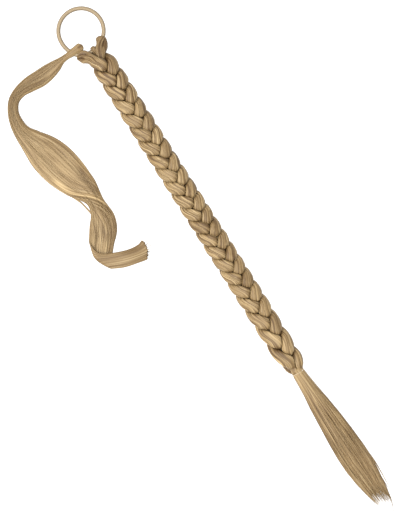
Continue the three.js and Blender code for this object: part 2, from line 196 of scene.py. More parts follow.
# %% [markdown]
# ## Hair finish
# Blonde hair is a mix of darker and lighter hairs, so its colour runs in streaks along the bundle, and it is
# darker in the partings where the light doesn't reach. A streak painted by the object's place would cut
# across the plait. Each hair piece carries instead an attribute, `bundle`, that says where a point lay in
# the straight bundle before it was plaited, in millimetres. Noise in that space, drawn out along the bundle,
# follows every turn of the hair.

# %% Hair finish
HAIR_TONES = [
    (0.39, (0.185, 0.118, 0.047, 1)),
    (0.46, (0.280, 0.190, 0.088, 1)),
    (0.53, (0.355, 0.252, 0.123, 1)),
    (0.61, (0.460, 0.350, 0.193, 1)),
]
# colour of the painted shade in partings, creases and pits, and of darker stretches of hair
PAINTED_SHADE_AND_DARK_TONE = (0.060, 0.030, 0.010, 1)
PAINTED_SHADE_AND_DARK_LOWERS = 0.08  # how much a painted shade of 1 lowers the tone; one below zero is painted light and raises it
STREAKS = {  # streaks across one millimetre, streaks along it, share of the tone
    "broad": (0.20, 0.010, 0.10),
    "lock": (1.0, 0.015, 0.55),
    "hair": (2.2, 0.03, 0.35),
}
STREAK_NOISE = {"Scale": 1.0, "Detail": 2.0, "Roughness": 0.55}
HAIR_BUMP = {"Strength": 0.35, "Distance": 0.0004}
HAIR_ROUGHNESS = {"least": 0.38, "more": 0.2}
HAIR_SPECULAR = 0.25


def streak_noise(wire, place, across, along):
    """Noise from 0 to 1 in the straight bundle, drawn out along its length."""
    squeezed = wire.node(
        "ShaderNodeVectorMath", {"operation": "MULTIPLY"}, {0: place, 1: (across, across, along)})
    return wire.node("ShaderNodeTexNoise", {"noise_dimensions": "3D"}, {"Vector": squeezed, **STREAK_NOISE})


def hair_finish(name):
    """Streaked tone with painted shade in partings and creases; the finest hairs are a bump across the same
    streaks.
    """
    material, wire, feed = new_finish(name)
    place = wire.attribute("bundle", "Vector")
    parting = wire.attribute("parting", "Fac")
    noise = {size: streak_noise(wire, place, across, along) for size, (across, along, _) in STREAKS.items()}
    tones = {size: noise[size] * share for size, (_, _, share) in STREAKS.items()}
    tone = tones["broad"] + tones["lock"] + tones["hair"] - parting * PAINTED_SHADE_AND_DARK_LOWERS
    colour = wire.node("ShaderNodeValToRGB", {"stops": HAIR_TONES}, {"Fac": tone})
    bump = wire.node("ShaderNodeBump", {}, {"Height": noise["hair"] + noise["lock"], **HAIR_BUMP})
    feed("Base Color", wire.mix(parting, colour, PAINTED_SHADE_AND_DARK_TONE))
    feed("Roughness", HAIR_ROUGHNESS["least"] + noise["lock"] * HAIR_ROUGHNESS["more"])
    feed("Specular IOR Level", HAIR_SPECULAR)
    feed("Normal", bump)
    return material


HAIR = hair_finish("hair")
print("finish:", HAIR.name)

# %% [markdown]
# ## Surfaces from grids
# A bundle of hair, a tube or a ring is one surface over two numbers: how far along, and how far round.
# Blender could sweep a curve for it, but then every bundle would be equally thick all round. A numpy array
# of rings holds any shape, and one function turns it into a closed mesh with its attributes.

# %% Mesh of a grid of rings
CURVE_SAMPLES = 8  # of a smooth curve, for each row that it gives
UP = (0, 0, 1)


def set_attribute(mesh, name, kind, field, values):
    """Writes an attribute of a mesh, one value for each point."""
    attribute = mesh.attributes.new(name, kind, "POINT")
    attribute.data.foreach_set(field, values.astype(np.float32).ravel())


def add_piece(name, vertices, faces, material, bundle, parting):
    """An object at the origin, from vertices in mm with their places in the straight bundle and partings."""
    mesh = bpy.data.meshes.new(name)
    mesh.from_pydata(vertices * MM, [], faces)
    mesh.shade_smooth()
    mesh.materials.append(material)
    set_attribute(mesh, "bundle", "FLOAT_VECTOR", "vector", bundle)
    set_attribute(mesh, "parting", "FLOAT", "value", parting)
    piece = bpy.data.objects.new(name, mesh)
    scene.collection.objects.link(piece)
    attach(piece, "root")
    triangles = sum(len(face) - 2 for face in faces)
    print(f"{name}: {triangles} triangles")
    return piece


def ring_faces(rows, columns, looped):
    """Quads between neighbouring rings; a looped surface joins its last ring to its first."""
    row = np.arange(rows if looped else rows - 1)[:, None] * columns
    ahead = (row + columns) % (rows * columns)
    column = np.arange(columns)
    after = (column + 1) % columns
    quads = np.stack([row + column, row + after, ahead + after, ahead + column], -1)
    return quads.reshape(-1, 4).tolist()


def bundle_piece(name, rings, bundle, parting):
    """Closed surface of hair through rings[row, column], with a fan of triangles over each end."""
    rows, columns = rings.shape[:2]
    column = np.arange(columns)
    after = (column + 1) % columns
    last = (rows - 1) * columns
    first_middle = np.full(columns, rows * columns)
    faces = ring_faces(rows, columns, looped=False)
    faces += np.stack([first_middle, after, column], -1).tolist()
    faces += np.stack([first_middle + 1, last + column, last + after], -1).tolist()

    def with_middles(values):
        flat = values.reshape(rows * columns, -1)
        return np.vstack([flat, flat[:columns].mean(0), flat[last:].mean(0)])

    return add_piece(
        name, with_middles(rings), faces, HAIR, with_middles(bundle), with_middles(parting)[:, 0])


def unit(vectors):
    """Vectors divided by their lengths."""
    return vectors / np.linalg.norm(vectors, axis=-1, keepdims=True)


def full_turn(count):
    """Even angles round a circle."""
    return np.linspace(0, 2 * np.pi, count, endpoint=False)


def ways_out(ahead, angle, flat=1):
    """Ways out from a line that runs `ahead`, at angles round it: side cos + over sin, where side is level
    and over, `flat` times as long, is square to it and to the line."""
    side = unit(np.cross(UP, ahead))
    over = np.cross(ahead, side)
    return side * np.cos(angle) + over * np.sin(angle) * flat


def straight_place(radius, angle, along, tones):
    """Places in a straight bundle: radius cos, radius sin and the way along, `tones` off in the noise."""
    angle, along = np.broadcast_arrays(angle, along)
    return np.stack([radius * np.cos(angle), radius * np.sin(angle), along], -1) + tones


def smooth_curve(rows, places, count):
    """Curve through rows of numbers, the first `places` of which are a place, as `count` even rows.

    It is a Catmull-Rom curve with its knots spaced by the square roots of the distances: between two rows,
    three rounds of straight blending over four rows. Returns the rows and how far along each one lies."""
    ends = np.vstack([2 * rows[0] - rows[1], rows, 2 * rows[-1] - rows[-2]])
    knots = np.append(0, np.cumsum(np.linalg.norm(np.diff(ends[:, :places], axis=0), axis=1) ** 0.5))
    t = np.linspace(knots[1], knots[-2], CURVE_SAMPLES * count)
    i = np.clip(np.searchsorted(knots, t, side="right") - 1, 1, len(knots) - 3)

    def blend(first, second, a, b):
        share = ((t - knots[i + a]) / (knots[i + b] - knots[i + a]))[:, None]
        return first * (1 - share) + second * share

    sides = [blend(ends[i + k], ends[i + k + 1], k, k + 1) for k in (-1, 0, 1)]
    pair = [blend(sides[0], sides[1], -1, 1), blend(sides[1], sides[2], 0, 2)]
    curve = blend(pair[0], pair[1], 0, 1)
    length = np.append(0, np.cumsum(np.linalg.norm(np.diff(curve[:, :places], axis=0), axis=1)))
    even = np.linspace(0, length[-1], count)
    return np.column_stack([np.interp(even, length, column) for column in curve.T]), even


# %% [markdown]
# ## Locks and partings
# Hair in a bundle sticks together in locks: rounded ridges that wander, split and join, with sharp partings
# between them. Particle hair could show that, but it isn't a mesh. Here smooth noise is drawn out along the
# bundle, and its absolute value gives the ridges, because the noise crosses zero along sharp lines. Three
# sizes of it are added.

# %% Relief of the locks
LOCKS = [  # noise cells round a bundle, their length, the height of the ridges, the painted shade in the partings
    {"across": 9, "length": 90, "height": 0.20, "dark": 0.3},
    {"across": 24, "length": 60, "height": 0.25, "dark": 0.85},
    {"across": 44, "length": 36, "height": 0.15, "dark": 0.5},
]
LOCK_MEAN = 0.42  # of the ridges, taken off so that a bundle keeps its size
PARTING_WIDTH = 0.32  # of a parting, as a share of the noise
WANDER = {"times": 3, "far": 0.3}  # how often partings wander in a cell's length, how far in its width


def ease(t):
    """S-curve from 0 to 1."""
    t = np.clip(t, 0, 1)
    return t * t * (3 - 2 * t)


def streaks(turn, along, across, length, rng):
    """Smooth random values from -1 to 1: a lattice with `across` columns round the bundle and a row every
    `length` mm along it, blended by s-curves between the corners of each cell."""
    row = (along - along.min()) / length
    column = turn % 1 * across
    i = np.floor(row).astype(int)
    j = np.floor(column).astype(int)
    lattice = rng.uniform(-1, 1, (i.max() + 2, across))
    down = ease(row - i)
    right = ease(column - j)
    j, next_j = j % across, (j + 1) % across
    upper = lattice[i, j] * (1 - right) + lattice[i, next_j] * right
    lower = lattice[i + 1, j] * (1 - right) + lattice[i + 1, next_j] * right
    return upper * (1 - down) + lower * down


def shaded(*shades):
    """Several shades from 0 to 1 over each other: 1 less the product of what each one leaves."""
    left = 1
    for shade in shades:
        left = left * (1 - shade)
    return 1 - left


def lock_relief(turn, along, rng, size=1.0):
    """Height of the locks in mm, height (sqrt|noise| - mean) summed over the sizes, and the painted shade in
    their partings, exp(-(noise / width)^2). `size` makes more or fewer locks round the bundle."""
    relief = np.zeros(np.broadcast(turn, along).shape)
    parting = np.zeros_like(relief)
    turn, along = np.broadcast_arrays(turn, along)
    for row in LOCKS:
        across = round(row["across"] * size)
        wander = streaks(turn, along, across, row["length"] / WANDER["times"], rng) * WANDER["far"] / across
        noise = streaks(turn + wander, along, across, row["length"], rng)
        relief += row["height"] * (np.sqrt(np.abs(noise)) - LOCK_MEAN)
        parting = np.maximum(parting, np.exp(-((noise / PARTING_WIDTH) ** 2)) * row["dark"])
    return relief, parting


print("locks round a bundle:", [row["across"] for row in LOCKS])

# %% [markdown]
# ## Deep partings
# Some partings are deeper than the rest and get painted shade, and some stretches of a lock are painted
# darker
# or lighter where shade or light falls on them. Noise would put them anywhere, so each one is a row of a
# table:
# a bell across the hair that fades at both ends.

# %% Grooves of each piece
GROOVE_FADE = 4  # a groove fades over one part in this many of its length, at each end
# Degrees round the bundle at the start and the end, mm along from and to, half width in degrees, depth and
# painted shade. A depth below zero is a ridge, and a painted shade below zero is painted light, which
# lightens the hair.
GROOVES = {
    "strand_left": [
        (118, 118, -5, 13, 15, 2.0, 1.0), (58, 58, 1, 14, 14, 1.6, 1.0), (74, 78, 10, 36, 4, 0.3, 0.5),
        (98, 100, 8, 34, 3, 0.3, 0.5), (126, 122, 6, 30, 3, 0.3, 0.5)],
    "strand_right": [
        (50, 55, 0, 16, 12, 2.0, 1.0), (72, 76, 2, 30, 3, 0.3, 0.5), (90, 95, 3, 30, 3, 0.3, 0.5),
        (108, 106, 2, 28, 3, 0.3, 0.5), (128, 122, 3, 28, 4, 0.4, 0.5)],
    "strand_middle": [(120, 120, 0, 14, 6, 0.4, 0.4)],
    "tail": [
        (85, 85, 466, 512, 2.5, 0.9, 1.0), (98, 98, 455, 488, 2, 0.5, 0.8), (58, 56, 500, 552, 3, 0.9, 0.9),
        (70, 69, 440, 500, 2, 0.4, 0.7), (108, 110, 496, 546, 3, 0.5, 0.7),
        (120, 121, 440, 520, 2, 0.4, 0.6), (78, 78, 508, 540, 2, 0.4, 0.6)],
    # In the loose lock, the rows with a shade below zero paint light: a strip under the arm's crease, the
    # bright band of the turn and the hair under the folded end.
    "loose_lock": [
        (90, 90, -2, 6, 24, 0.8, 0.6), (62, 92, 44, 96, 7, 0.7, 0.6), (28, 40, 34, 96, 20, 0, -0.8),
        (18, 26, 120, 200, 26, 0, 0.35), (46, 58, 144, 186, 2.5, 0.4, 0.5), (40, 105, 192, 234, 14, 0, 0.5),
        (132, 160, 180, 256, 11, -0.6, -0.9), (156, 184, 200, 264, 7, 0.6, 0.5),
        (270, 270, 270, 302, 60, 0, -0.5), (200, 200, 228, 290, 3, 0.6, 0.7),
        (222, 222, 234, 292, 2.5, 0.5, 0.7), (184, 188, 236, 286, 3, 0.5, 0.6),
        (240, 240, 246, 290, 3, 0.4, 0.5)],
}


def grooves(name, angle, along):
    """Depth of a piece's grooves and their painted shade: exp(-(aside / wide)^2), faded at both ends."""
    angle, along = np.broadcast_arrays(np.degrees(angle), along)
    depth = np.zeros(angle.shape)
    shade = np.zeros(angle.shape)
    for first, last, start, end, wide, deep, dark in GROOVES[name]:
        share = (along - start) / (end - start)
        aside = (angle - first - (last - first) * np.clip(share, 0, 1) + 180) % 360 - 180
        fade = ease(share * GROOVE_FADE) * ease((1 - share) * GROOVE_FADE)
        bell = np.exp(-((aside / wide) ** 2)) * fade
        depth += deep * bell
        shade = shaded(shade, dark * bell)
    return depth, shade


print("grooves:", {name: len(rows) for name, rows in GROOVES.items()})

# %% [markdown]
# ## Single hairs
# Finer locks and loose hairs lie on the bundles and stand off them at the ends. A curve object with a round
# bevel could draw them, but it isn't a mesh; instead all hairs of a piece are one array of paths, and one
# function makes thin tubes round them that taper to a point.

# %% Tubes round many paths
HAIR_SIDES = 4
HAIR_TONE_SPAN = 400  # mm of the straight bundle; each hair takes its tone from a place of its own in it
HAIR_POINT = 0.05  # share of its width that a hair has at its ends
HAIR_FULLNESS = 0.7  # below 1 a hair stays wide for longer


def hair_piece(name, paths, radius, flat, shade, rng):
    """Closed tubes along paths[hair, step], radius[hair, step] wide and `flat` times as high. `shade`, how
    dark they are, is one number or one for each hair and step."""
    hairs, steps = paths.shape[:2]
    sides = HAIR_SIDES
    ahead = unit(np.gradient(paths, axis=1))[:, :, None]
    angle = full_turn(sides)[:, None]
    points = paths[:, :, None] + ways_out(ahead, angle, flat) * radius[:, :, None, None]
    points[..., 2] = np.maximum(points[..., 2], 0)
    tube = np.array(ring_faces(steps, sides, looped=False))
    first = (np.arange(hairs) * steps * sides)[:, None]
    faces = (first[..., None] + tube).reshape(-1, 4).tolist()
    faces += (first + np.arange(sides)[::-1]).tolist()
    faces += (first + (steps - 1) * sides + np.arange(sides)).tolist()
    length = np.linalg.norm(np.diff(paths, axis=1, prepend=paths[:, :1]), axis=2).cumsum(axis=1)
    tone = rng.uniform(0, HAIR_TONE_SPAN, (hairs, 1, 1, 2)) + 0 * points[..., :2]
    bundle = np.concatenate([tone, length[:, :, None, None] + 0 * points[..., :1]], -1)
    parting = np.repeat(shade + 0 * radius, sides)
    piece = add_piece(name, points.reshape(-1, 3), faces, HAIR, bundle.reshape(-1, 3), parting)
    return piece


def taper(share, root, tip):
    """Width along a hair: it grows over its first part and thins to a point over its last part."""
    return np.clip(np.minimum(share / root, (1 - share) / tip), HAIR_POINT, 1) ** HAIR_FULLNESS


def drawn_hairs(name, hairs, steps, radius, ends, flat, shade, seed):
    """Hairs on smooth curves through rows of x, y and height, which taper over the two shares `ends`."""
    paths = np.stack([smooth_curve(np.array(rows), places=3, count=steps)[0] for rows in hairs])
    width = radius * taper(np.linspace(0, 1, steps)[None], *ends) + 0 * paths[..., 0]
    return hair_piece(name, paths, width, flat, shade, np.random.default_rng(seed))


# %% [markdown]
# ## Covered elastic ring
# The ring is a round elastic in a sleeve of pale thread, drawn a little out of round where the left bundle
# hangs on it, and lifted by the hair along its lower side. A torus would be too even, so a circle is carried
# round this curve, and two sets of threads that cross it in opposite helices raise its surface. The thread's
# colour reads the same weave, so that the gaps in it are dark, and painted shade darkens it down both sides
# of the cord.

# %% Sleeve finish
SLEEVE_THREAD = (0.355, 0.275, 0.170, 1)
# colour of the gaps between the threads and of the painted shade down the cord's sides
SLEEVE_GAP_AND_SHADE_TONE = (0.058, 0.034, 0.015, 1)
SLEEVE_MOTTLE = {"Scale": 900.0, "Detail": 2.0}
SLEEVE_MOTTLED = 0.25  # share of the mottle in the colour
SLEEVE_ROUGHNESS = {"least": 0.6, "more": 0.15}
SLEEVE_SPECULAR = 0.3


def sleeve_finish():
    """Pale tan thread, darker between the threads, with painted shade down the sides of the cord, and a
    little mottled.
    """
    material, wire, feed = new_finish("sleeve_thread")
    place = wire.node("ShaderNodeTexCoord", {}, {}, "Object")
    gaps_and_side_shade = wire.attribute("parting", "Fac")
    mottle = wire.node("ShaderNodeTexNoise", {}, {"Vector": place, **SLEEVE_MOTTLE})
    dark = gaps_and_side_shade * (1 - SLEEVE_MOTTLED) + mottle * SLEEVE_MOTTLED
    feed("Base Color", wire.mix(dark, SLEEVE_THREAD, SLEEVE_GAP_AND_SHADE_TONE))
    feed("Roughness", SLEEVE_ROUGHNESS["least"] + mottle * SLEEVE_ROUGHNESS["more"])
    feed("Specular IOR Level", SLEEVE_SPECULAR)
    return material


SLEEVE = sleeve_finish()
print("finish:", SLEEVE.name)

# %% Ring
RING = {"radius": 23.65, "cord": 2.2, "tilt": 2.6, "pull": 1.9, "pull_angle": -124, "pull_spread": 30}
SLEEVE_ROWS = 800
SLEEVE_SIDES = 36
SLEEVE_THREADS = 12  # round the cord, half of them each way
SLEEVE_CROSSED = 100  # threads of one way that a line round the ring meets
SLEEVE_RELIEF = 0.10
# painted shade down both sides of the cord
SLEEVE_SIDE_SHADE = 0.95


def ring_line(angle):
    """Middle of the elastic at an angle in degrees: a circle with a bell where the bundle pulls, tilted."""
    pull = RING["pull"] * np.exp(-(((angle - RING["pull_angle"]) / RING["pull_spread"]) ** 2))
    radius = RING["radius"] + pull
    turn = np.radians(angle)
    lift = RING["tilt"] * (1 - np.sin(turn)) / 2
    return np.stack([radius * np.cos(turn), radius * np.sin(turn), RING["cord"] + lift], -1)


def ring_piece():
    """A circle carried round the ring's line. Its radius is cord + relief (weave - 1) / 2, and the weave is
    the higher of cos(threads / 2 round + crossed along) and the same with a minus."""
    angle = np.linspace(-180, 180, SLEEVE_ROWS, endpoint=False)
    middle = ring_line(angle)
    ahead = unit(np.roll(middle, -1, axis=0) - np.roll(middle, 1, axis=0))
    round_cord = full_turn(SLEEVE_SIDES)[None]
    along = np.radians(angle)[:, None]
    left_thread = np.cos(SLEEVE_THREADS / 2 * round_cord + SLEEVE_CROSSED * along)
    right_thread = np.cos(SLEEVE_THREADS / 2 * round_cord - SLEEVE_CROSSED * along)
    weave = np.maximum(left_thread, right_thread)
    radius = (RING["cord"] + SLEEVE_RELIEF * (weave - 1) / 2)[..., None]
    way = ways_out(ahead[:, None], round_cord[..., None])
    vertices = (middle[:, None] + way * radius).reshape(-1, 3)
    faces = ring_faces(SLEEVE_ROWS, SLEEVE_SIDES, looped=True)
    # dark in the gaps between the threads, and painted shade down both sides of the cord
    gaps_and_side_shade = shaded((1 - weave) / 2, SLEEVE_SIDE_SHADE * np.cos(round_cord) ** 2)
    return add_piece("covered_ring", vertices, faces, SLEEVE, vertices, gaps_and_side_shade.ravel())


ring = ring_piece()
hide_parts("elastic_ring")

# %% [markdown]
# ## Braid
# Each strand of the plait swings from side to side and passes over one neighbour and under the other. Its
# middle is a sine sideways and a sine of twice that rate up and down, the three strands a third of a turn
# apart. A round tube on that line would cut into its neighbours. So each section reaches out only to its
# free size, to the oval outside of the whole plait or to the plane half way to a neighbour, whichever is
# nearest, which presses the strands flat against each other, as in a tight plait.

# %% Lines of the three strands
BRAID_TOP = -47
BRAID_LENGTH = 374.2
BRAID_AXIS = (1.8, 3.3)  # sideways place at the top and at the end
BRAID_HEIGHT = 10.05
BRAID_ROLL = np.radians(9)
STRAIGHTER = -0.08  # share of sin(3 phase) in the swing; below zero, strands run straighter across
LEFT_OVER = 0.4  # how far a strand crosses higher from the left, and lower from the right
FIRST_LOBE = -0.056  # lobes passed at the top
NECK_SPREAD = 3.0  # of the strands' middles about the neck's
PITCH_ALONG, PITCH = np.array([  # place along the braid, length of a lobe there
    (-40, 19.5), (0, 18.2), (45, 17.1), (120, 16.4), (215, 15.4), (272, 16.0), (305, 20.2), (340, 24.8),
    (380, 27),
]).T
PITCH_SAMPLES = 4201
BRAID_FORM = np.array([  # along, swing, lift, half width, half height, share gathered to the neck
    (-10, 7.4, 5.6, 6.6, 5.6, 0),
    (8, 7.4, 5.6, 8.5, 7.0, 0),
    (300, 7.3, 5.6, 8.5, 7.0, 0),
    (356, 7.4, 5.0, 8.0, 6.4, 0),
    (368, 6.0, 3.3, 5.7, 4.7, 0.45),
    (372.2, 4.0, 2.6, 4.0, 3.8, 1),
    (374.2, 3.0, 2.5, 3.6, 3.6, 1),
])
# Turn in the plait, degrees in the neck, place along the braid where the plait takes over, and the root's
# rows of x, y, z, half width and half height.
STRANDS = {
    "strand_left": {"turn": 0, "neck_angle": 130, "braid_from": -9, "root": [
        (-19.0, -22.2, 5.0, 5.2, 4.8), (-14.6, -23.2, 5.1, 6.6, 5.0), (-9.9, -26.0, 6.9, 6.9, 5.2),
        (-6.1, -31.6, 10.2, 5.8, 5.6)]},
    "strand_right": {"turn": 1, "neck_angle": 250, "braid_from": -4, "root": [
        (17.8, -17.2, 5.2, 4.9, 5.0), (12.6, -20.4, 5.3, 6.8, 5.0), (7.8, -25.4, 7.2, 8.0, 5.2),
        (4.2, -32.0, 8.8, 6.9, 5.4), (0.9, -38.0, 8.0, 5.8, 5.6)]},
    "strand_middle": {"turn": 2, "neck_angle": 10, "braid_from": -3, "root": [
        (2.4, -20.0, 5.4, 5.4, 4.2), (1.4, -24.6, 5.2, 5.6, 4.0), (3.2, -29.0, 3.9, 4.4, 3.8),
        (5.8, -34.4, 4.7, 4.4, 4.4), (8.8, -40.2, 7.2, 5.4, 5.4)]},
}
LINE_STEP = 2.5  # along the braid, between the rows of a strand's line
STRAND_ROWS = 280
ROOT_ROUND = 6.5  # length of the rounded end on the ring
ROOT_ROWS = 10


def lobes_at(along):
    """Number of lobes passed on the left side: the sum of 1 / pitch from the first tip."""
    fine = np.linspace(PITCH_ALONG[0], PITCH_ALONG[-1], PITCH_SAMPLES)
    pitch = np.interp((fine[1:] + fine[:-1]) / 2, PITCH_ALONG, PITCH)
    passed = np.append(0, np.cumsum(np.diff(fine) / pitch))
    return np.interp(along, fine, passed) - np.interp(0, fine, passed) + FIRST_LOBE


def plait_phase(along, turn):
    """Phase of a strand in the plait: a third of a turn for each lobe, less its own turn."""
    return 2 * np.pi * (lobes_at(along) - turn) / 3


def strand_line(turn, neck_angle, braid_from, root):
    """Rows of x, y, z, half width and half height along a strand, from its loop on the ring to the band.

    In the plait, side = swing sin(phase), made straighter by a share of sin(3 phase), and
    over = -lift sin(2 phase) + left_over cos(phase). Both are rolled a little about the axis, and at the end
    the strand moves to its own place in the neck."""
    along = np.linspace(braid_from, BRAID_LENGTH, round((BRAID_LENGTH - braid_from) / LINE_STEP))
    swing, lift, wide, high, gathered = [
        np.interp(along, BRAID_FORM[:, 0], column) for column in BRAID_FORM.T[1:]]
    phase = plait_phase(along, turn)
    side = swing * (np.sin(phase) + STRAIGHTER * np.sin(3 * phase)) / (1 - STRAIGHTER)
    over = -lift * np.sin(2 * phase) + LEFT_OVER * np.cos(phase)
    x = side * np.cos(BRAID_ROLL) + over * np.sin(BRAID_ROLL)
    z = over * np.cos(BRAID_ROLL) - side * np.sin(BRAID_ROLL)
    neck = np.radians(neck_angle)
    axis = BRAID_AXIS[0] + (BRAID_AXIS[1] - BRAID_AXIS[0]) * along / BRAID_LENGTH
    x = axis + x * (1 - gathered) + NECK_SPREAD * np.cos(neck) * gathered
    z = BRAID_HEIGHT + z * (1 - gathered) + NECK_SPREAD * np.sin(neck) * gathered
    rows = np.vstack([root, np.column_stack([x, BRAID_TOP - along, z, wide, high])])
    rows, place = smooth_curve(rows, places=3, count=STRAND_ROWS)
    finer = np.append(ROOT_ROUND * np.linspace(0, 1, ROOT_ROWS) ** 2, place[place > ROOT_ROUND])
    return np.column_stack([np.interp(finer, place, column) for column in rows.T]), finer


lines = {name: strand_line(**strand) for name, strand in STRANDS.items()}
print("strand lengths:", {name: round(along[-1]) for name, (_, along) in lines.items()})

# %% How far a section reaches
STRAND_GAP = 0.3
ROUNDING = 6  # how sharp the edges of a section are
NEAR = 24  # rows either way along a neighbour that can press on a section
LEAST_REACH = 0.2
TINY = 1e-6  # keeps a quotient finite
PLAIT = np.array((14.2, 10.0))  # half width and half height of the whole plait
PLAIT_FROM = -12  # place along the braid where the plait begins to be pressed into its oval
PLAIT_GROWS = 8  # length over which that grows


def in_plait(along):
    """1 in the plait, 0 in the roots and in the neck."""
    gathered = np.interp(along, BRAID_FORM[:, 0], BRAID_FORM[:, 5])
    return ease((along - PLAIT_FROM) / PLAIT_GROWS) * (1 - gathered)


def plait_offset(points, along):
    """Sideways and upright distance from the plait's axis, in half sizes of the plait."""
    axis = np.interp(along, (0, BRAID_LENGTH), BRAID_AXIS)
    return np.stack([points[..., 0] - axis, points[..., 2] - BRAID_HEIGHT], -1) / PLAIT


def outer_reach(middle, way, along):
    """Distance from the middle of a strand to the outside of the plait, an oval: with both in half sizes of
    the plait, the t where |offset + t way| = 1."""
    offset = plait_offset(middle, along[:, 0])[:, None]
    way = way[..., ::2] / PLAIT
    square = np.maximum((way**2).sum(-1), TINY)
    half = (offset * way).sum(-1)
    rest = np.maximum(half**2 + square * (1 - (offset**2).sum(-1)), 0)
    return np.maximum((np.sqrt(rest) - half) / square, LEAST_REACH)


def pressed_reach(middle, way, free, along, neighbours):
    """How far each section reaches, and how far it is pressed in by its neighbours. It reaches to its free
    size, to the outside of the plait or to the plane half way to a neighbour, whichever is nearest, with the
    corner between them rounded. The plane to a point q away is met at |q|^2 / (2 way . q)."""
    inverse = free ** -ROUNDING + in_plait(along) * outer_reach(middle, way, along) ** -ROUNDING
    unpressed = inverse ** (-1 / ROUNDING)
    for line in neighbours:
        nearest = np.argmin(np.linalg.norm(middle[:, None] - line[None], axis=2), axis=1)
        window = np.clip(nearest[:, None] + np.arange(-NEAR, NEAR + 1), 0, len(line) - 1)
        offset = line[window] - middle[:, None]
        ahead = np.maximum(np.einsum("rak,rwk->raw", way, offset), TINY)
        half = np.min(np.sum(offset**2, axis=2)[:, None] / (2 * ahead), axis=2)
        inverse = inverse + np.maximum(half - STRAND_GAP / 2, LEAST_REACH) ** -ROUNDING
    reach = inverse ** (-1 / ROUNDING)
    return reach, unpressed - reach


print("plait:", 2 * PLAIT, "mm wide and high")

# %% Surfaces of the three strands
STRAND_SIDES = 230
ROOT_LEAST = 0.001  # share of the rounded end at which its first ring stands
ROOT_SHADE = np.array([(0, 0.3), (8, 0.16), (22, 0.1), (45, 0)])  # mm along, share of the dark
ROCK = np.radians(35)  # how far the hairs roll about a strand that is laid over, and back again
INSIDE_PAINTED_SHADE = {"from": 0.2, "to": 0.5, "dark": 0.9}  # painted shade deep inside the plait, from and to as shares of its half size
BUNDLE_RADIUS = 8.5  # of the straight bundle that the finish reads
BUNDLE_APART = 37.0  # between the straight bundles of two strands
PRESSED_SHADE = {"far": 1.2, "dark": 0.17}  # painted shade in the creases: a section that its neighbours press in so far gets this much of it
SWEEP = 2.0  # how far the lobes lean back towards the ring at the left edge
# Hollow round the elastic where it enters a bundle, with painted shade in it: deep is a share of the reach,
# and near is the length of a strand that is searched for it.
MOUTH = {"wide": 1.2, "deep": 0.2, "near": 40, "samples": 240}


def inside_shade(points, along):
    """Painted shade at a point of the plait, which lies at 1 - |offset| inside the plait's oval."""
    inside = 1 - np.linalg.norm(plait_offset(points, along), axis=-1)
    share = (inside - INSIDE_PAINTED_SHADE["from"]) / (INSIDE_PAINTED_SHADE["to"] - INSIDE_PAINTED_SHADE["from"])
    return INSIDE_PAINTED_SHADE["dark"] * in_plait(along) * ease(share)


def elastic_mouth(points):
    """1 at the surface of the elastic, less away from it: exp(-(gap / wide)^2)."""
    elastic = ring_line(np.linspace(-180, 180, MOUTH["samples"]))
    distance = np.min(np.linalg.norm(points[:, :, None] - elastic[None, None], axis=3), axis=2)
    return np.exp(-(((distance - RING["cord"]) / MOUTH["wide"]) ** 2))


def strand_surface(name, seed):
    """Rings of a strand, the ways out from its middle, its painted shade and its places in the straight
    bundle.

    A point is middle + way (reach + relief - groove), drawn in to a round end at the root and hollowed round
    the elastic. Towards the plait's left edge it moves back by sweep offset^2."""
    rows, along = lines[name]
    neighbours = [line[:, :3] for other, (line, _) in lines.items() if other != name]
    middle = rows[:, :3]
    ahead = unit(np.gradient(middle, axis=0))
    angle = full_turn(STRAND_SIDES)[None]
    way = ways_out(ahead[:, None], angle[..., None])
    free = 1 / np.hypot(np.cos(angle) / rows[:, 3:4], np.sin(angle) / rows[:, 4:5])
    in_braid = BRAID_TOP - rows[:, 1:2]
    reach, pressed = pressed_reach(middle, way, free, in_braid, neighbours)
    rng = np.random.default_rng(seed)
    hair_angle = angle - ROCK * np.sin(plait_phase(in_braid, STRANDS[name]["turn"]))
    relief, parting = lock_relief(hair_angle / (2 * np.pi), along[:, None], rng)
    depth, dark = grooves(name, angle, along[:, None])
    relief = relief - depth
    root_shade = np.interp(along, *ROOT_SHADE.T)[:, None]
    # painted shade where the neighbours press a section in and in its grooves, and darker towards the root
    parting = shaded(parting, PRESSED_SHADE["dark"] * ease(pressed / PRESSED_SHADE["far"]), dark, root_shade)
    root = np.sqrt(1 - (1 - np.clip(along / ROOT_ROUND, ROOT_LEAST, 1)) ** 2)[:, None]
    points = middle[:, None] + way * ((reach + relief) * root)[..., None]
    near_root = along < MOUTH["near"]
    mouth = elastic_mouth(points[near_root])
    points[near_root] -= way[near_root] * (MOUTH["deep"] * reach[near_root] * mouth)[..., None]
    # painted shade in the hollow round the elastic
    parting[near_root] = np.maximum(parting[near_root], mouth)
    points[..., 2] = np.maximum(points[..., 2], 0)
    # painted shade deep in the plait, in its creases and pits
    parting = shaded(parting, inside_shade(points, in_braid))
    leftward = np.maximum(-plait_offset(points, in_braid)[..., 0], 0)
    points[..., 1] += SWEEP * in_plait(in_braid) * leftward**2
    bundle = straight_place(BUNDLE_RADIUS, hair_angle, along[:, None], seed * BUNDLE_APART)
    return {"rings": points, "way": way, "parting": parting, "bundle": bundle}


strands = {name: strand_surface(name, seed) for seed, name in enumerate(STRANDS)}
for name, shape in strands.items():
    piece_name = name.replace("strand", "braid_strand")
    piece = bundle_piece(piece_name, shape["rings"], shape["bundle"], shape["parting"])
    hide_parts(name)

# %% [markdown]
# ## Loose hairs of the braid
# A worn plait isn't quite smooth: short hairs work loose from its strands. They could be scattered over the
# whole plait, but a hair that crosses a strand looks like a scratch, so each follows a strand's own grid.

# %% Loose hairs of the braid
BRAID_HAIRS = {  # bare and length are in rows of a strand's grid, drift in columns
    "count": 130, "steps": 14, "bare": (16, 40), "length": (8, 28), "drift": 7, "lift": (0.1, 0.7),
    "radius": 0.13, "ends": (0.2, 0.3), "seed": 31}


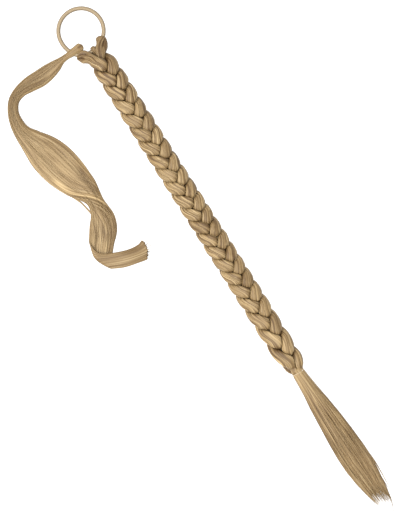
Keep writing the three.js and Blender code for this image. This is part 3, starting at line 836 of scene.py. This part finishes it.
def braid_hairs():
    """Hairs on the strands' grids: each keeps near a column and bows off the surface by a half sine."""
    table = BRAID_HAIRS
    rng = np.random.default_rng(table["seed"])
    each = (table["count"], 1)
    share = np.linspace(0, 1, table["steps"])[None]
    first, last = table["bare"]
    low, high = table["lift"]
    paths = []
    for shape in strands.values():
        row = rng.uniform(first, len(shape["rings"]) - last, each)
        row = row + rng.uniform(*table["length"], each) * share
        column = rng.uniform(0, STRAND_SIDES, each) + rng.normal(0, table["drift"], each) * share
        row = row.astype(int)
        column = column.astype(int) % STRAND_SIDES
        lift = low + high * rng.uniform(0, 1, each) ** 2 * np.sin(np.pi * share)
        paths.append(shape["rings"][row, column] + shape["way"][row, column] * lift[..., None])
    paths = np.concatenate(paths)
    radius = table["radius"] * taper(share, *table["ends"]) + 0 * paths[..., 0]
    return hair_piece("braid_loose_hairs", paths, radius, flat=1, shade=0, rng=rng)


braid_hairs()

# %% [markdown]
# ## Clear band
# A small clear rubber band holds the neck of the braid. It is wound twice, so its section is two round cords
# side by side. Two rings could be laid beside each other, but one surface carried round the neck makes both
# and stays closed. Its rubber is nearly clear, so that little more than its glints shows.

# %% Clear rubber
RUBBER_TONE = (0.80, 0.70, 0.52, 1)
RUBBER_CLOUD_SCALE = 700.0
RUBBER_ROUGHNESS = {"least": 0.08, "more": 0.14}
RUBBER_TRANSMISSION = 0.5
RUBBER_ALPHA = 0.18


def clear_rubber_finish():
    """Clear glossy rubber with a faint cloud in its gloss."""
    material, wire, feed = new_finish("clear_rubber")
    place = wire.node("ShaderNodeTexCoord", {}, {}, "Object")
    cloud = wire.node("ShaderNodeTexNoise", {}, {"Vector": place, "Scale": RUBBER_CLOUD_SCALE})
    feed("Base Color", RUBBER_TONE)
    feed("Roughness", RUBBER_ROUGHNESS["least"] + cloud * RUBBER_ROUGHNESS["more"])
    feed("Transmission Weight", RUBBER_TRANSMISSION)
    feed("Alpha", RUBBER_ALPHA)
    return material


CLEAR_RUBBER = clear_rubber_finish()
print("finish:", CLEAR_RUBBER.name)

# %% Band
BAND_Y = -421.6
BAND_RADIUS = 7.12
BAND_CORD = 0.32
BAND_WAVER = 0.12
BAND_WAVES = 3
BAND_ROWS = 96
BAND_SIDES = 20


def band_piece():
    """Two cords side by side: a section of radius cord (1 + cos(2 angle) / 2), which has a waist between two
    rounds, carried round the neck on a line that wavers a little."""
    turn = full_turn(BAND_ROWS)[:, None]
    angle = full_turn(BAND_SIDES)[None]
    radius = BAND_CORD * (1 + np.cos(2 * angle) / 2)
    out = BAND_RADIUS + radius * np.sin(angle)
    across = radius * np.cos(angle) + BAND_WAVER * np.sin(BAND_WAVES * turn)
    vertices = np.stack([
        BRAID_AXIS[1] + out * np.cos(turn),
        BAND_Y + across,
        BRAID_HEIGHT + out * np.sin(turn),
    ], -1).reshape(-1, 3)
    faces = ring_faces(BAND_ROWS, BAND_SIDES, looped=True)
    return add_piece("clear_band", vertices, faces, CLEAR_RUBBER, vertices, np.zeros(len(vertices)))


band = band_piece()
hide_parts("tie_band")

# %% [markdown]
# ## Lying hair
# The tail and the loose lock lie on the table. Their section is an oval pressed flat underneath, and a hair
# keeps its angle in the oval all the way along, so hairs spread where the oval widens.

# %% Oval section on the table
TOP_SHARE = 0.55  # how much closer the columns stand on top than underneath
LEAST_HALF = 0.05  # half width and rise of an oval at the least


def oval_angles(columns):
    """Angles round the oval, closer together on top: c + share cos(c), with c even from 0 to a full turn."""
    c = 2 * np.pi * np.arange(columns) / columns
    return (c + TOP_SHARE * np.cos(c))[None]


def oval_points(middle, side, wide, mid, rise, angle, out):
    """Points of the oval: middle + side wide/2 cos + up (mid + rise sin), moved outwards by `out`, never
    under the table."""
    half = np.maximum(wide / 2, LEAST_HALF)
    rise = np.maximum(rise, LEAST_HALF)
    outward = unit(np.stack([np.cos(angle) / half, np.sin(angle) / rise], -1))
    across = half * np.cos(angle) + out * outward[..., 0]
    up = np.maximum(mid + rise * np.sin(angle) + out * outward[..., 1], 0)
    points = middle + side * across[..., None]
    points[..., 2] += up
    return points


# %% [markdown]
# ## Tail
# Below the band the hair spreads into a flat brush that ends in ragged tips. Hairs alone would have to be
# many thousands to hide the table, so its body is one ridged surface whose end stops sooner or later from
# lock to lock, and finer locks and single hairs lie on it and run on past its end.

# %% Tail body
TAIL_ROWS = np.array([  # y, left, right, middle height, rise over it
    (-417.5, -2.6, 9.6, 10.0, 5.4),
    (-421.6, -3.3, 10.4, 10.0, 6.7),
    (-431, -3.7, 11.4, 8.8, 7.1),
    (-445, -4.4, 13.3, 6.9, 7.4),
    (-460, -6.0, 15.7, 5.4, 7.0),
    (-480, -7.2, 18.4, 4.2, 6.4),
    (-500, -8.5, 20.4, 3.3, 5.8),
    (-520, -9.2, 21.7, 2.6, 5.1),
    (-538, -8.6, 22.0, 2.0, 4.1),
    (-552, -6.6, 20.8, 1.5, 3.1),
    (-561, -5.0, 19.6, 1.0, 2.2),
    (-575, -2.2, 17.8, 0.7, 1.3),
    (-600, 3.6, 14.4, 0.4, 0.6),
])
TAIL_BODY_ROWS = 150
TAIL_SIDES = 300
TAIL_RADIUS = 12.0  # of the straight bundle that the finish reads
TAIL_TONES = 187.0  # place of that bundle in the noise
# The end of the body: the first and the last y, how much sooner the left side ends, the length over which it
# thins to the least share of its height, the power of that, and the level that it thins to.
TAIL_END = {"first": -551, "last": -584, "slant": 9, "thin": 20, "least": 0.03, "power": 0.7, "level": 0.4}
TAIL_RAGGED = [(0.3, 110), (0.9, 30)]  # share of the raggedness, noise cells round the tail
TAIL_SIZE = 2.0  # more locks than in a strand of the braid
TAIL_RELIEF = np.array([  # mm along, share of a strand's relief
    (417, 0.3), (440, 0.5), (480, 1.3), (570, 1.3)])
TAIL_SHADE = np.array([(421, 0.16), (445, 0.16), (485, 0.02), (560, 0.45)])  # mm along, share of the dark
TAIL_SEED = 11


def tail_points(angle, y, out):
    """Points of the tail at an angle and a place y, moved outwards by `out`."""
    left, right, mid, rise = [np.interp(-y, -TAIL_ROWS[:, 0], column) for column in TAIL_ROWS.T[1:]]
    middle = np.stack([(left + right) / 2, y, np.zeros_like(y)], -1)
    return oval_points(middle, np.array((1.0, 0, 0)), right - left, mid, rise, angle, out)


def sooner(angle):
    """How much sooner the hairs at an angle of the tail end: slant (1 - cos) / 2, all of it at the left."""
    return TAIL_END["slant"] * (1 - np.cos(angle)) / 2


def tail_body():
    """Rings, places in the straight bundle and painted shade of the body, with darker stretches along it.
    The rows run from the band to an end that is different in each column, and near it the body thins out."""
    rng = np.random.default_rng(TAIL_SEED)
    angle = oval_angles(TAIL_SIDES)
    turn = angle / (2 * np.pi)
    ragged = sum(
        share * streaks(turn, 0 * turn, across, length=1, rng=rng) for share, across in TAIL_RAGGED)
    end = TAIL_END["first"] + (TAIL_END["last"] - TAIL_END["first"]) * (ragged + 1) / 2 + sooner(angle)
    share = np.linspace(0, 1, TAIL_BODY_ROWS)[:, None]
    y = TAIL_ROWS[0, 0] + (end - TAIL_ROWS[0, 0]) * share
    relief, parting = lock_relief(turn + 0 * y, -y, rng, TAIL_SIZE)
    strength = np.interp(-y, *TAIL_RELIEF.T)
    depth, dark = grooves("tail", angle, -y)
    angle = angle + 0 * y
    points = tail_points(angle, y, relief * strength - depth)
    thin = np.clip((y - end) / TAIL_END["thin"], TAIL_END["least"], 1) ** TAIL_END["power"]
    points[..., 2] = TAIL_END["level"] + (points[..., 2] - TAIL_END["level"]) * thin
    bundle = straight_place(TAIL_RADIUS, angle, -y, TAIL_TONES)
    shade = np.interp(-y, *TAIL_SHADE.T)
    return points, bundle, shaded(parting * np.minimum(strength, 1), dark, shade)


tail = bundle_piece("tail_body", *[values[:, ::-1] for values in tail_body()])
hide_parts("tail")

# %% [markdown]
# ## Locks and hairs of the tail
# Past its body the tail is thin locks, single hairs and a few long wisps. Most are drawn at random along the
# tail's own oval, so that they lie with the body's hairs, and the wisps follow curves of their own.

# %% Locks and hairs of the tail
TAIL_LOCKS = {
    "count": 260, "from": (-556, -500), "tips": (-568, -598), "radius": (0.25, 0.6), "flat": 0.6, "seed": 12}
TAIL_HAIRS = {
    "count": 200, "from": (-552, -440), "tips": (-560, -606), "radius": (0.10, 0.2), "flat": 1, "seed": 13}
STRAYS = {  # what the locks and the hairs share: edge is a cosine, tips the two powers of a beta spread
    "steps": 24, "edge": 0.99, "sway": 0.05, "waves": (2, 5), "tips": (1.1, 2.2), "out": (-0.1, 0.3),
    "rise": (-0.2, 0.5), "ends": (0.3, 0.5)}
WISPS = [  # rows of x, y, height
    [(21.5, -525, 3.0), (22.4, -543, 2.4), (22.0, -556, 1.6), (21.4, -569, 1.2), (21.8, -584, 0.8)],
    [(17.5, -545, 4.0), (18.8, -565, 1.8), (17.2, -577.5, 1.2), (14.1, -590, 0.9), (8.7, -603, 0.4)],
    [(18.0, -540, 3.6), (19.5, -560, 1.8), (19.6, -572, 1.0), (20.4, -580, 0.8)],
]


def tail_strays(name, table):
    """Hairs that keep their angle in the tail's oval, with a slow sway, from a start on its body to a tip
    past its end."""
    rng = np.random.default_rng(table["seed"])
    each = (table["count"], 1)
    share = np.linspace(0, 1, STRAYS["steps"])[None]
    angle = np.arccos(rng.uniform(-STRAYS["edge"], STRAYS["edge"], each))
    wave = rng.uniform(0, 2 * np.pi, each) + rng.uniform(*STRAYS["waves"], each) * share
    angle = angle + STRAYS["sway"] * np.sin(wave) * share
    start = rng.uniform(*table["from"], each)
    first, last = table["tips"]
    tip = first + (last - first) * rng.beta(*STRAYS["tips"], each) + sooner(angle[:, :1])
    y = start + (tip - start) * share
    out = rng.uniform(*STRAYS["out"], each) + rng.uniform(*STRAYS["rise"], each) * share
    radius = rng.uniform(*table["radius"], each) * taper(share, *STRAYS["ends"])
    return hair_piece(name, tail_points(angle, y, out), radius, table["flat"], TAIL_SHADE[-1, 1], rng)


tail_strays("tail_locks", TAIL_LOCKS)
tail_strays("tail_hairs", TAIL_HAIRS)
drawn_hairs("tail_wisps", WISPS, steps=24, radius=0.55, ends=(0.2, 0.6), flat=0.8, shade=0.6, seed=14)

# %% [markdown]
# ## Loose lock
# The fourth lock is looped on the ring, swings out in a wide arm, spreads into a bulge, turns half over at a
# waist and folds back on itself at its cut end. It could be a ribbon with a twist, but it is thick hair, so
# its route, width and height are a short table of sections, smoothed by the same curve as the strands. The
# turn moves the hairs round the oval, and the fold bends the flat lock over a line on the table without
# stretching it.

# %% Line of the loose lock
LOCK_ROWS = np.array([  # x, y, wide, middle height, rise, degrees turned
    (-6.7, -13.3, 2.6, 4.4, 1.6, 0),
    (-8.2, -13.6, 7.8, 4.4, 3.3, 0),
    (-11.7, -13.9, 8.9, 4.4, 3.9, 0),
    (-16.2, -14.4, 8.6, 4.4, 4.1, 0),
    (-21.1, -14.6, 8.0, 4.3, 4.0, 0),
    (-26.5, -14.8, 6.6, 3.6, 3.4, 0),
    (-33, -15.3, 7.4, 2.9, 3.2, 0),
    (-42, -17.0, 12.8, 2.3, 3.1, 0),
    (-52, -18.3, 16.8, 2.0, 3.0, 0),
    (-62, -19.2, 18.2, 1.9, 2.9, 0),
    (-75, -18.8, 16.6, 1.9, 2.9, 0),
    (-87, -19.7, 13, 2.0, 3.0, 0),
    (-97.7, -24.5, 11.2, 2.2, 3.2, 0),
    (-104.8, -34.4, 11.4, 2.2, 3.2, 0),
    (-107.8, -46, 14, 2.1, 3.1, 0),
    (-107.8, -58, 18, 1.9, 3.0, 0),
    (-104.6, -70, 26.4, 1.8, 2.8, 0),
    (-99.8, -85, 37.2, 1.7, 2.7, 0),
    (-95.4, -100, 41.4, 1.7, 2.7, 0),
    (-91.6, -115, 40.6, 1.7, 2.8, 0),
    (-87.4, -130, 35.4, 1.9, 3.1, 4),
    (-83.6, -142, 28.4, 2.2, 3.6, 22),
    (-81.7, -152, 20.6, 2.6, 4.0, 55),
    (-81.5, -160, 17.4, 2.6, 4.0, 98),
    (-82.2, -168, 20.2, 2.3, 3.5, 135),
    (-84.6, -178, 26.3, 1.9, 2.8, 156),
    (-90.1, -188.0, 29.0, 1.6, 2.2, 170),
    (-97.5, -196.8, 27.2, 1.5, 1.9, 180),
    (-103.2, -204.5, 25.4, 1.5, 1.8, 180),
    (-111.9, -216.0, 22.6, 1.5, 1.8, 180),
    (-120.9, -226.6, 22.2, 1.5, 1.8, 180),
    (-132.1, -234.6, 18.8, 1.5, 1.7, 180),
    (-143.4, -239.4, 19.8, 1.4, 1.6, 180),
    (-150.4, -240.6, 22.4, 1.2, 1.4, 180),
])
LOCK_STEPS = 330

lock_line, lock_along = smooth_curve(LOCK_ROWS, places=2, count=LOCK_STEPS)
print(f"loose lock: {lock_along[-1]:.0f} mm long")

# %% Fold of the loose lock
FOLD_PLACE = (-109.7, -208.65)
FOLD_AWAY = np.radians(186.95)  # the way across the fold
FOLD_AXIS = 3.7  # height of the line that the lock bends over
FOLD_FLAT = 1.6  # height in the lock that keeps its length
FOLD_REACH = 16  # half the length of the fold
FOLD_BOW = 7  # how much sooner the hairs beside the middle fold
SETTLE = {"from": 14, "to": 42, "drop": 4.1}  # the folded end comes down to the table


def fold_over(points):
    """Past the fold a point at distance d goes round the axis by the angle d / bend, and then straight back.
    The fold is a bow, not a line: aside from its middle d grows by bow (1 - exp(-(aside / reach)^2))."""
    away = np.array((np.cos(FOLD_AWAY), np.sin(FOLD_AWAY)))
    from_fold = points[..., :2] - FOLD_PLACE
    aside = from_fold @ (-away[1], away[0])
    bow = FOLD_BOW * (1 - np.exp(-((aside / FOLD_REACH) ** 2)))
    bow = bow * ease((from_fold @ away + FOLD_REACH) / FOLD_REACH)
    past = np.maximum(from_fold @ away + bow, 0)
    bend = FOLD_AXIS - FOLD_FLAT
    out = FOLD_AXIS - points[..., 2]
    turned = np.minimum(past / bend, np.pi)
    back = np.maximum(past - np.pi * bend, 0)
    folded = points.copy()
    folded[..., :2] += (out * np.sin(turned) - back - past)[..., None] * away
    settle = SETTLE["drop"] * ease((back - SETTLE["from"]) / (SETTLE["to"] - SETTLE["from"]))
    folded[..., 2] = np.maximum(FOLD_AXIS - out * np.cos(turned) - settle, 0)
    return np.where(past[..., None] > 0, folded, points)


def lock_points(angle, place, out):
    """Points of the loose lock at an angle of its oval and a place along it, moved outwards by `out`."""
    x, y, wide, mid, rise = [np.interp(place, lock_along, column) for column in lock_line.T[:5]]
    heading = np.gradient(lock_line[:, :2], axis=0)
    ahead = unit(np.stack([np.interp(place, lock_along, column) for column in heading.T], -1))
    side = np.stack([-ahead[..., 1], ahead[..., 0], 0 * x], -1)
    middle = np.stack([x, y, 0 * x], -1)
    return fold_over(oval_points(middle, side, wide, mid, rise, angle, out))


print("fold at", FOLD_PLACE)

# %% Surface of the loose lock
LOCK_SIDES = 290
LOCK_RADIUS = 6.0  # of the straight bundle that the finish reads
LOCK_TONES = 240.0  # place of that bundle in the noise
LOCK_SIZE = 2.0  # more locks than in a strand of the braid
LOCK_FULL = 12  # width from which the lock has all its relief
LOCK_RELIEF = np.array([  # mm along, share of the relief and of the painted shade in the partings that a braid has
    (0, 0.3), (40, 0.15), (100, 0.15), (150, 0.22), (195, 0.25), (225, 0.55), (350, 0.6)])
LOCK_SHADE = np.array([  # mm along, share of the dark
    (0, 0.2), (40, 0.42), (90, 0.42), (140, 0.24), (195, 0.22), (225, 0.25), (262, 0.26), (300, 0.34),
    (350, 0.36)])
# The lower hairs of the cut end are shorter; cells are those of the noise that makes it ragged.
LOCK_CUT = {"from": 30, "slant": 12, "ragged": 1.3, "cells": 90}
LOCK_SEED = 21


def loose_lock():
    """Rings, places in the straight bundle and painted shade of the lock, with darker stretches along it.
    Its columns follow the hairs, so they go round the oval where the lock turns over. Near its end each is
    shorter by slant (1 + cos) / 2 and a ragged noise."""
    rng = np.random.default_rng(LOCK_SEED)
    hair_angle = full_turn(LOCK_SIDES) + 0 * lock_along[:, None]
    turned = np.radians(lock_line[:, 5])
    ragged = streaks(hair_angle / (2 * np.pi), 0 * hair_angle, LOCK_CUT["cells"], length=1, rng=rng)
    cut = LOCK_CUT["slant"] * (1 + np.cos(hair_angle - turned[-1])) / 2 + LOCK_CUT["ragged"] * ragged
    place = lock_along[:, None]
    place = place - cut * ease((place - lock_along[-1]) / LOCK_CUT["from"] + 1)
    angle = hair_angle - np.interp(place, lock_along, turned)
    relief, parting = lock_relief(hair_angle / (2 * np.pi), place, rng, LOCK_SIZE)
    depth, dark = grooves("loose_lock", hair_angle, place)
    wide = np.interp(place, lock_along, lock_line[:, 2])
    strength = np.interp(place, *LOCK_RELIEF.T)
    points = lock_points(angle, place, (relief * strength - depth) * np.minimum(wide / LOCK_FULL, 1))
    bundle = straight_place(LOCK_RADIUS, hair_angle, place, LOCK_TONES)
    shade = np.interp(place, *LOCK_SHADE.T)
    return points, bundle, shaded(parting * strength, dark, shade)


lock = bundle_piece("loose_lock", *loose_lock())
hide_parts("wrap_lock")

# %% [markdown]
# ## Loose hairs of the lock
# Many fine hairs lie along the lock, a few stand off its fold, and one thin lock stands off at its waist.
# Those along it are drawn at random, as the tail's are, and the few that stand off follow their own curves.

# %% Loose hairs of the lock
LOCK_HAIRS = {  # bare: lengths at the two ends where no hair starts; past: how far hairs pass the cut
    "count": 190, "steps": 26, "bare": (4, 40), "length": (25, 90), "past": 2, "sway": 0.12,
    "lift": (0.15, 0.9), "radius": 0.14, "ends": (0.2, 0.3), "seed": 22}
LOCK_WISPS = [  # rows of x, y, height
    [(-101.5, -213.5, 3.0), (-97.5, -222.0, 2.0), (-101.0, -231.0, 1.0)],
    [(-98.0, -216.5, 3.0), (-92.5, -222.5, 2.0), (-95.0, -230.0, 1.2)],
    [(-94.5, -218.5, 3.0), (-89.5, -222.0, 2.2), (-87.5, -224.0, 1.6)],
]
LOCK_STRAY = [  # x, y, height
    (-101.5, -136, 2.6), (-99.4, -141.9, 2.2), (-95.1, -150.7, 1.8), (-93.1, -159.3, 1.5),
    (-91.8, -168.8, 1.6), (-94.0, -179.3, 2.4)]


def lock_hairs():
    """Hairs that keep their angle in the lock, as the tail's do, and bow off it by a half sine."""
    table = LOCK_HAIRS
    rng = np.random.default_rng(table["seed"])
    each = (table["count"], 1)
    share = np.linspace(0, 1, table["steps"])[None]
    first, last = table["bare"]
    low, high = table["lift"]
    start = rng.uniform(first, lock_along[-1] - last, each)
    place = start + rng.uniform(*table["length"], each) * share
    place = np.minimum(place, lock_along[-1] + share * table["past"])
    angle = np.arccos(rng.uniform(-1, 1, each)) + rng.normal(0, table["sway"], each) * share
    lift = low + high * rng.uniform(0, 1, each) ** 3 * np.sin(np.pi * share)
    radius = table["radius"] * taper(share, *table["ends"]) + 0 * place
    shade = np.interp(place, *LOCK_SHADE.T)
    paths = lock_points(angle, place, lift)
    return hair_piece("lock_loose_hairs", paths, radius, flat=1, shade=shade, rng=rng)


lock_hairs()
drawn_hairs("lock_wisps", LOCK_WISPS, steps=24, radius=0.16, ends=(0.2, 0.5), flat=1, shade=0.3, seed=24)
drawn_hairs("lock_stray", [LOCK_STRAY], steps=30, radius=0.9, ends=(0.3, 0.3), flat=0.8, shade=0.2, seed=23)
